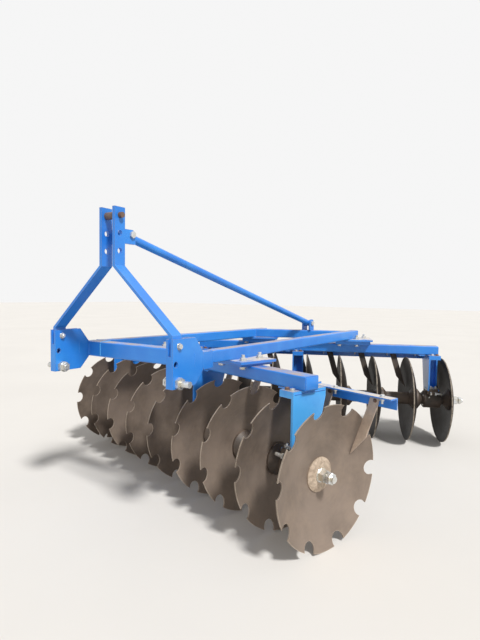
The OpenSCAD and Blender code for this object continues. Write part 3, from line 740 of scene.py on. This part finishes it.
class HARROW_OT_paint_frame(bpy.types.Operator):
    """Paints the frame, hitch, mast, hangers and scraper bars"""
    bl_idname = "harrow.paint_frame"
    bl_label = "Paint Frame"

    def execute(self, context):
        for name in (
                "front_cross_beam", "left_side_beam", "right_side_beam", "rear_cross_beam",
                "left_hitch_bracket", "right_hitch_bracket", "left_mast_leg", "right_mast_leg",
                "brace_tube", "brace_lug", "front_gang_beam", "rear_gang_beam",
                "lower_clamp_plates", "rear_hangers"):
            finish_node(name, blue_paint())
        # the near front hanger's sunlit face, as painted sunlight
        sunlit = blue_paint("hanger paint with painted sunlight", bleached=0.8, end_of=gangs()[0])
        finish_node("front_hangers", sunlit)
        # pale dust and painted glare on the tops of the scraper bars and upper clamp plates
        dusty = blue_paint("bar paint with pale dust and painted glare", settled=1.7, film=0.08, top_tint=colours().pale_dust_and_glare)
        for name in ("front_scraper_bar", "rear_scraper_bar", "upper_clamp_plates"):
            finish_node(name, dusty)
        return {"FINISHED"}


FRONT_DISC_LOOK = {
    "rings": 0.02, "speckle": 0.16, "soil": 0.2, "band": 0.35, "band_from": 0.3005,
    "band_to": 0.3045, "metal": 0.2, "rough": (0.48, 0.75), "sheen": 0.4}
REAR_DISC_LOOK = {
    "rings": 0.02, "speckle": 0.15, "soil": 0.05, "band": 0.5, "band_from": 0.301,
    "band_to": 0.3045, "metal": 0.0, "rough": (0.5, 0.75), "sheen": 0.25}


class HARROW_OT_finish_gangs(bpy.types.Operator):
    """Gives the discs, spools, bearings, axles and scrapers their steel and cast iron"""
    bl_idname = "harrow.finish_gangs"
    bl_label = "Finish Gangs"

    def execute(self, context):
        c = colours()
        front, rear = gangs()
        front_tints = (c.front_disc, c.front_disc_deep, c.front_rim)
        rear_tints = (c.rear_disc, c.rear_disc_deep, c.rear_rim)
        finish_node("front_discs",
                    disc_steel("front disc steel", front, front_tints, FRONT_DISC_LOOK))
        finish_node("rear_discs",
                    disc_steel("rear disc steel", rear, rear_tints, REAR_DISC_LOOK))
        for name in ("front_spools", "rear_spools", "front_bearing_spools",
                     "rear_bearing_spools", "front_bearings", "rear_bearings",
                     "rear_end_washers", "rear_scrapers"):
            finish_node(name, cast_black())
        # the front scrapers: dusty steel made paler by painted sunlight
        finish_node("front_scrapers",
                    rusty_steel("dusty scraper steel with painted sunlight", c.scraper, c.scraper_deep))
        finish_node("front_end_washers",
                    rusty_steel("dusty washer steel", c.washer, c.washer_deep, (70.0, 0.5, 0.45)))
        finish_node("mast_sleeve", rust())
        for name in ("left_hitch_pin", "right_hitch_pin", "brace_bolts", "front_axle",
                     "rear_axle", "front_axle_nuts", "rear_axle_nuts"):
            finish_node(name, zinc_plate())
        return {"FINISHED"}


class HARROW_OT_clamp_bolts(bpy.types.Operator):
    """Bolts each pair of clamp plates together at its four corners"""
    bl_idname = "harrow.clamp_bolts"
    bl_label = "Clamp Bolts"

    def execute(self, context):
        size = sizes().clamp_bolt
        bm = bmesh.new()
        for place, gang, run, _ in crossings():
            reach = CLAMP_BOLT_REACH[gang.name]
            for a in (-reach, reach):
                for b in (-CLAMP_BOLT_RUN, CLAMP_BOLT_RUN):
                    spot = place + gang.along * a + run * b
                    add_bolt(bm, Vector((spot.x, spot.y, SIDE_Z)), UP, size, end=size * 0.8)
                    add_bolt(bm, Vector((spot.x, spot.y, gang.beam_top)), -UP, size)
        piece("clamp_bolts", bm, zinc_plate(), "frame")
        return {"FINISHED"}


class HARROW_OT_hanger_bolts(bpy.types.Operator):
    """Bolts each hanger's top plate ahead of and behind its gang beam"""
    bl_idname = "harrow.hanger_bolts"
    bl_label = "Hanger Bolts"

    def execute(self, context):
        size = sizes().hanger_bolt
        bm, rusty = bmesh.new(), bmesh.new()
        for gang, x in hanger_places():
            top = gang.hanger_top
            for aside, made in ((RUSTY_BOLT_X, rusty), (HANGER_BOLT_X, bm)):
                for y in (HANGER_BOLT_FRONT - HANGER_FRONT, HANGER_BACK - HANGER_BOLT_BACK):
                    add_bolt(made, gang.at(x + aside, y, top), UP, size)
                    add_bolt(made, gang.at(x + aside, y, top - HANGER_FLANGE), -UP, size,
                             end=size * 0.5)
        piece("hanger_bolts", bm, zinc_plate(), "frame")
        piece("rusty_hanger_bolts", rusty, rust(), "frame")
        return {"FINISHED"}


class HARROW_OT_bearing_fittings(bpy.types.Operator):
    """Fits the bearings' foot bolts, clamp bolts, end rings and grease nipples"""
    bl_idname = "harrow.bearing_fittings"
    bl_label = "Bearing Fittings"

    def execute(self, context):
        bolts, castings = bmesh.new(), bmesh.new()
        for gang, x in hanger_places():
            fit_foot(gang, x, bolts, castings)
            fit_end_rings(gang, x, bolts, castings)
            fit_nipple(gang, x, bolts)
        piece("bearing_bolts", bolts, zinc_plate(), "frame")
        piece("bearing_castings", castings, cast_black(), "frame")
        return {"FINISHED"}


def fit_foot(gang, x, bolts, castings):
    """The foot bolts, and a cast lug and ear that clasp the foot's front edge on a clamp bolt."""
    def at_edge(offset):
        return gang.at(x + offset[0], offset[1] - FOOT_W / 2, HOUSING_TOP + offset[2])

    size = sizes().foot_bolt
    for a in FOOT_BOLT_X:
        add_bolt(bolts, at_edge((a, FOOT_BOLT_IN, HANGER_FLANGE)), UP, size, end=size * 0.5)
    add_box(castings, at_edge(LUG_AT), gang.axes, LUG_SIZE, CAST_EDGE)
    rod = at_edge(ROD_AT)
    add_round(bolts, rod, -gang.along, ROD_R, ROD_L, edge=0.0015)
    add_hex(bolts, rod, -gang.along, ROD_FLATS, ROD_NUT_H)
    add_hex(bolts, rod + gang.along * ROD_GRIP, gang.along, ROD_FLATS, ROD_HEAD_H)
    add_box(castings, at_edge(EAR_AT), gang.axes, EAR_SIZE, CAST_EDGE)


def fit_end_rings(gang, x, bolts, castings):
    """A ring on each end of a housing, and four screws around it."""
    for end in (-1, 1):
        face = x + end * HOUSING_L / 2
        out = gang.along * end
        add_round(castings, gang.at(face, 0, 0), out, HOUSING_R * RING_SHARE, RING_T,
                  segments=40, edge=0.002)
        for angle in (45, 135, 225, 315):
            y = SCREW_CIRCLE * math.cos(math.radians(angle))
            z = SCREW_CIRCLE * math.sin(math.radians(angle))
            add_hex(bolts, gang.at(face + end * SCREW_OUT, y, z), out, SCREW_FLATS, SCREW_H)


def fit_nipple(gang, x, bolts):
    """A grease nipple on the front of a housing, tilted up."""
    foot = gang.at(x + NIPPLE_X, -HOUSING_R * NIPPLE_FRONT, HOUSING_R * NIPPLE_UP)
    out = (-gang.back + UP * NIPPLE_TILT).normalized()
    add_hex(bolts, foot, out, NIPPLE_FLATS, NIPPLE_HEX_H)
    add_round(bolts, foot + out * NIPPLE_HEX_H, out, NIPPLE_R, NIPPLE_H, segments=12,
              edge=0.001, top=NIPPLE_TOP_R)


class HARROW_OT_scraper_bolts(bpy.types.Operator):
    """Bolts each scraper to its bar and each arm to its beam"""
    bl_idname = "harrow.scraper_bolts"
    bl_label = "Scraper Bolts"

    def execute(self, context):
        size = sizes().scraper_bolt
        blade_bolt = size * 0.7
        bm, rusty = bmesh.new(), bmesh.new()
        on_bar = SCRAPER_BACK - ANGLE_LEG / 2
        behind_beam = BEAM_BACK + BEAM_W / 2 + ARM_BOLT_BACK
        for gang in gangs():
            top = gang.hanger_top - ARM_T
            for i in range(sizes().disc_count):
                x = disc_x(i) + ANGLE_LEG + SCRAPER_W / 2
                z = top - ANGLE_T - SCRAPER_BOLT_DOWN
                blade = SCRAPER_BACK - ANGLE_T - SCRAPER_T
                add_bolt(rusty, gang.at(x, blade, z), -gang.back, blade_bolt)
                add_bolt(rusty, gang.at(x, SCRAPER_BACK, z), gang.back, blade_bolt,
                         end=size * 0.4)
                clip = gang.at(x + CLIP_ASIDE, on_bar - CLIP_BACK, top - ANGLE_T)
                add_bolt(bm, clip, -UP, size, end=size * 1.1)
                add_bolt(bm, clip + UP * ANGLE_T, UP, size * 0.9)
            for i in BEARINGS:
                side = -1 if i == 0 else 1
                x = disc_x(i) + HANGER_X + side * (HANGER_W / 2 + ARM_W)
                for y in (on_bar, behind_beam):
                    add_bolt(bm, gang.at(x, y, top + ARM_T), UP, size)
                add_bolt(bm, gang.at(x, on_bar, top - ANGLE_T), -UP, size, end=size)
                add_bolt(bm, gang.at(x, behind_beam, top), -UP, size)
        piece("scraper_bolts", bm, zinc_plate(), "frame")
        piece("rusty_scraper_bolts", rusty, rust(), "frame")
        return {"FINISHED"}


class HARROW_OT_hitch_fittings(bpy.types.Operator):
    """Bolts the mast legs into the hitch brackets and locks the pins' nuts"""
    bl_idname = "harrow.hitch_fittings"
    bl_label = "Hitch Fittings"

    def execute(self, context):
        size = sizes().bracket_bolt
        hitch = hitch_centre()
        bm = bmesh.new()
        for sign in (-1, 1):
            out = Vector((sign, 0, 0))
            y, z = hitch.y + LEG_BOLT_BACK, LEG_BOLT_Z
            add_bolt(bm, Vector((hitch.x + sign * BRACKET_OUT, y, z)), out, size)
            add_bolt(bm, Vector((hitch.x + sign * BRACKET_IN, y, z)), -out, size, end=size * 0.3)
            nut = Vector((hitch.x + sign * (BRACKET_IN - PIN_NUT), hitch.y, hitch.z))
            add_round(bm, nut, -out, PIN_WASHER_R, PIN_WASHER_T, segments=40, edge=0.001)
            add_hex(bm, nut - out * PIN_WASHER_T, -out, PIN_LOCK_FLATS, PIN_LOCK_H)
            add_round(bm, nut - out * PIN_THREAD_FROM, -out, PIN_THREAD_R, PIN_THREAD_L,
                      segments=28, edge=0.0015)
        piece("bracket_bolts", bm, zinc_plate(), "frame")
        return {"FINISHED"}


class HARROW_OT_axle_threads(bpy.types.Operator):
    """Fits the axles' ends with threads, washer faces and lock nuts"""
    bl_idname = "harrow.axle_threads"
    bl_label = "Axle Threads"

    def execute(self, context):
        last = sizes().disc_count - 1
        for gang in gangs():
            bm = bmesh.new()
            near = gang.at(disc_x(0) - DISH + DISC_T + AXLE_FACE, 0, 0)
            far = gang.at(disc_x(last) - DISH - AXLE_FACE, 0, 0)
            for face, out in ((near, gang.along), (far, -gang.along)):
                add_thread(bm, face + out * (NUT_H + THREAD_FROM), out)
                add_round(bm, face - out * FACE_SUNK, out, FACE_R, FACE_T, segments=40,
                          edge=0.001)
                add_hex(bm, face + out * LOCK_NUT_OUT, out, LOCK_NUT_FLATS, LOCK_NUT_H)
            piece(gang.name + "_axle_threads", bm, zinc_plate(), gang.name + "_gang",
                  smooth_angle=30)
        return {"FINISHED"}


def add_thread(bm, foot, out):
    """The ridges of a thread on an axle's end, each of two cones."""
    crest, half = AXLE_END_R + THREAD_DEPTH, THREAD_PITCH / 2
    for k in range(int((THREAD_OUT - THREAD_SPARE) / THREAD_PITCH)):
        ring = foot + out * k * THREAD_PITCH
        add_round(bm, ring, out, AXLE_END_R, half, segments=28, top=crest)
        add_round(bm, ring + out * half, out, crest, half, segments=28, top=AXLE_END_R)


class HARROW_OT_welds(bpy.types.Operator):
    """Lays the weld beads at the frame's joints"""
    bl_idname = "harrow.welds"
    bl_label = "Weld Beads"

    def execute(self, context):
        r = sizes().bead
        bm, butt = bmesh.new(), bmesh.new()
        weld_brackets(bm, r)
        weld_butt_seam(butt, r)
        weld_side_beams(bm, r)
        weld_hangers(bm, r)
        # the seam laid fully in painted sunlight, a painted highlight along the bead
        seam_paint = blue_paint("rubbed seam paint", bleached=1.0)
        piece("beam_seam", butt, seam_paint, "frame", smooth_angle=80)
        piece("weld_beads", bm, blue_paint(), "frame", smooth_angle=80)
        return {"FINISHED"}


def weld_brackets(bm, r):
    """The cross beam's beads on the brackets, and the side beams' on the cross beam."""
    hitch = hitch_centre()
    back = hitch.y + CROSS_Y
    front = back + CROSS_W
    low = FRAME_TOP - CROSS_H
    for sign in (-1, 1):
        for x in (BRACKET_OUT - 2 * WELD_SUNK, BRACKET_IN):
            spot = Vector((hitch.x + sign * x, back, 0))
            add_bead(bm, spot + UP * (low + 0.01), spot + UP * (FRAME_TOP - 0.01), r)
        for x in (BRACKET_OUT, BRACKET_IN + WELD_SUNK):
            spot = Vector((hitch.x + sign * x, hitch.y + BRACKET_WELD_BACK, 0))
            add_bead(bm, spot + UP * BRACKET_WELD_Z[0], spot + UP * BRACKET_WELD_Z[1], r * 0.6)
        outer = hitch.x + sign * (BRACKET_OUT - WELD_SHORT)
        inner = hitch.x + sign * (BRACKET_OUT - SIDE_W + WELD_SHORT)
        for z in (FRAME_TOP - WELD_SUNK, SIDE_Z + WELD_SUNK):
            add_bead(bm, Vector((outer, front, z)), Vector((inner, front, z)), r)
        for x in (BRACKET_OUT - WELD_SUNK, BRACKET_OUT - SIDE_W + WELD_SUNK):
            spot = Vector((hitch.x + sign * x, front, 0))
            add_bead(bm, spot + UP * (SIDE_Z + WELD_SHORT), spot + UP * (FRAME_TOP - WELD_SHORT), r)


def weld_butt_seam(bm, r):
    """The cross beam's butt seam, up its front, over the corner and across its top."""
    hitch = hitch_centre()
    seam = Vector((hitch.x + SEAM_ASIDE, hitch.y + CROSS_Y, 0))
    low = FRAME_TOP - CROSS_H + WELD_SHORT
    turn = Vector((0, WELD_SHORT - 0.001, FRAME_TOP))
    add_bead(bm, seam + UP * low, seam + UP * (FRAME_TOP - WELD_SHORT + 0.001), r)
    add_bead(bm, seam + UP * (FRAME_TOP - WELD_SHORT), seam + turn, r)
    add_bead(bm, seam + turn, seam + Vector((0, CROSS_W - WELD_SHORT, FRAME_TOP)), r)


def weld_side_beams(bm, r):
    """The side beams' beads on the upper clamp plates."""
    for place, gang, run, _ in crossings():
        across = Vector((run.y, -run.x, 0))
        half = UPPER_CLAMP_L / 2 / max(0.5, abs(run.dot(gang.back))) * 0.9
        past = min(half, SIDE_PAST * 0.9) if gang.name == "rear" else half
        for side in (-1, 1):
            aside = across * side * (SIDE_W / 2 - 0.004)
            edge = place + aside + UP * (SIDE_Z + 0.0005)
            add_bead(bm, edge - run * half, edge + run * past, r)


def weld_hangers(bm, r):
    """The beads along the hangers' sides, at their top plates and feet."""
    half_foot = FOOT_W / 2
    foot_z = HOUSING_TOP + HANGER_FLANGE
    for gang, x in hanger_places():
        top = gang.hanger_top - HANGER_FLANGE
        outer, inner = x + HANGER_W / 2, x - HANGER_W / 2
        back = HANGER_BACK - 0.004
        add_bead(bm, gang.at(outer, 0.012 - HANGER_FRONT, top), gang.at(outer, back, top), r * 0.8)
        add_bead(bm, gang.at(outer, WELD_SHORT - half_foot, foot_z),
                 gang.at(outer, half_foot - 0.004, foot_z), r * 0.7)
        add_bead(bm, gang.at(inner, HANGER_SET_BACK - HANGER_FRONT + 0.004, top),
                 gang.at(inner, back, top), r * 0.8)


class HARROW_OT_beam_caps(bpy.types.Operator):
    """Closes the ends of the gang beams and side beams with welded caps"""
    bl_idname = "harrow.beam_caps"
    bl_label = "Beam Caps"

    def execute(self, context):
        t = sizes().cap
        last = sizes().disc_count - 1
        bm = bmesh.new()
        for gang in gangs():
            past = HANGER_W / 2 + BEAM_PAST[gang.name]
            near = disc_x(0) + HANGER_X + past
            far = disc_x(last - 1) + HANGER_X - past
            for x in (near + t / 2, far - t / 2):
                centre = gang.at(x, BEAM_BACK, gang.hanger_top + BEAM_H / 2)
                add_box(bm, centre, gang.axes, (t, BEAM_W - CAP_IN, BEAM_H - CAP_IN), CAP_EDGE)
        for place, gang, run, lean in crossings():
            # the side beams end just behind the rear gang beam
            if gang.name == "rear":
                across = Vector((run.y, -run.x, 0))
                past = SIDE_PAST / math.cos(lean) + t / 2
                centre = place + run * past + UP * (SIDE_Z + SIDE_W / 2)
                add_box(bm, centre, (across, run, UP), (SIDE_W - CAP_IN, t, SIDE_W - CAP_IN),
                        CAP_EDGE)
        piece("beam_caps", bm, blue_paint(), "frame")
        return {"FINISHED"}


class HARROW_OT_stage(bpy.types.Operator):
    """Sets the floor, the soft lights and the camera"""
    bl_idname = "harrow.stage"
    bl_label = "Stage"

    def execute(self, context):
        make_floor(context.scene)
        make_world(context.scene)
        make_lamps(context.scene)
        make_camera(context.scene)
        return {"FINISHED"}


def make_floor(scene):
    bm = bmesh.new()
    bmesh.ops.create_grid(bm, x_segments=1, y_segments=1, size=FLOOR_SIZE)
    mesh = bpy.data.meshes.new("floor")
    bm.to_mesh(mesh)
    bm.free()
    floor = bpy.data.objects.new("floor", mesh)
    scene.collection.objects.link(floor)

    def fill(t):
        place = object_place(t)
        cloud = t.spread(t.noise(place, 0.8, detail=5.0), 0.3, 0.7)
        pale = linear(colours().floor)
        darker = tuple(v * 0.97 for v in pale[:3]) + (1.0,)
        return t.mix(cloud, pale, darker), cloud, t.noise(place, 90.0, detail=3.0)

    mesh.materials.append(finish_material("pale floor", 0.0, (0.85, 0.95), fill, bump=0.04))


def make_world(scene):
    """Lights the scene softly, while the camera and gloss see a white studio."""
    world = bpy.data.worlds.new("soft studio")
    scene.world = world
    world.use_nodes = True
    t = Tree(world.node_tree)
    back = world.node_tree.nodes["Background"]
    back.inputs["Color"].default_value = (1.0, 1.0, 1.0, 1.0)
    back.inputs["Strength"].default_value = WORLD_LIGHT
    white = t.node("ShaderNodeBackground", {
        "Color": (1.0, 1.0, 1.0, 1.0), "Strength": WORLD_WHITE})
    rays = t.node("ShaderNodeLightPath").outputs
    seen = t.maths("MAXIMUM", rays["Is Camera Ray"], rays["Is Glossy Ray"])
    seen = t.maths("MAXIMUM", seen, rays["Is Transmission Ray"])
    mixed = t.node("ShaderNodeMixShader", {0: seen, 1: back.outputs[0], 2: white.outputs[0]})
    t.give(world.node_tree.nodes["World Output"].inputs["Surface"], mixed.outputs[0])


def make_lamps(scene):
    for name, towards, strength, angle in LAMPS:
        lamp = bpy.data.lights.new(name, "SUN")
        lamp.energy = strength
        lamp.angle = math.radians(angle)
        obj = bpy.data.objects.new(name, lamp)
        obj.rotation_euler = Vector(towards).to_track_quat("Z", "Y").to_euler()
        scene.collection.objects.link(obj)


def make_camera(scene):
    """Stands the camera where the photograph was taken."""
    yaw, pitch, roll = (math.radians(angle) for angle in (YAW, PITCH, ROLL))
    ahead = Vector((math.sin(yaw) * math.cos(pitch), math.cos(yaw) * math.cos(pitch),
                    -math.sin(pitch)))
    right = Vector((math.cos(yaw), -math.sin(yaw), 0))
    above = right.cross(ahead)
    c, s = math.cos(roll), math.sin(roll)
    right, above = right * c + above * s, above * c - right * s
    data = bpy.data.cameras.new("camera")
    data.sensor_width = SENSOR
    data.lens = FOCAL_PIXELS / PHOTO_H * SENSOR
    data.clip_start, data.clip_end = 0.05, 200
    camera = bpy.data.objects.new("camera", data)
    hitch = hitch_centre()
    spot = Vector((hitch.x + CAMERA_X, hitch.y + CAMERA_Y, CAMERA_Z))
    turn = Matrix((right, above, -ahead)).transposed().to_4x4()
    camera.matrix_world = Matrix.Translation(spot) @ turn
    scene.collection.objects.link(camera)
    scene.camera = camera


class HARROW_PT_panel(bpy.types.Panel):
    """Lists the harrow's pieces, sizes and colours"""
    bl_label = "Disc Harrow"
    bl_space_type = "VIEW_3D"
    bl_region_type = "UI"
    bl_category = "Harrow"

    def draw(self, context):
        column = self.layout.column(align=True)
        for operator in OPERATORS:
            column.operator(operator.bl_idname)
        for group_of in (context.scene.harrow_sizes, context.scene.harrow_colours):
            settings = self.layout.column(align=True)
            for name in group_of.__annotations__:
                settings.prop(group_of, name)


OPERATORS = (
    HARROW_OT_stage, HARROW_OT_paint_frame, HARROW_OT_finish_gangs, HARROW_OT_clamp_bolts,
    HARROW_OT_hanger_bolts, HARROW_OT_bearing_fittings, HARROW_OT_scraper_bolts,
    HARROW_OT_hitch_fittings, HARROW_OT_axle_threads, HARROW_OT_welds, HARROW_OT_beam_caps,
)
CLASSES = (HarrowColours, HarrowSizes, *OPERATORS, HARROW_PT_panel)


def register():
    for c in CLASSES:
        bpy.utils.register_class(c)
    bpy.types.Scene.harrow_colours = PointerProperty(type=HarrowColours)
    bpy.types.Scene.harrow_sizes = PointerProperty(type=HarrowSizes)


def unregister():
    del bpy.types.Scene.harrow_sizes
    del bpy.types.Scene.harrow_colours
    for c in reversed(CLASSES):
        bpy.utils.unregister_class(c)


def main():
    register()
    bpy.context.scene.view_settings.view_transform = "Standard"
    for operator in OPERATORS:
        folder, name = operator.bl_idname.split(".")
        getattr(getattr(bpy.ops, folder), name)()


if __name__ == "__main__":
    main()
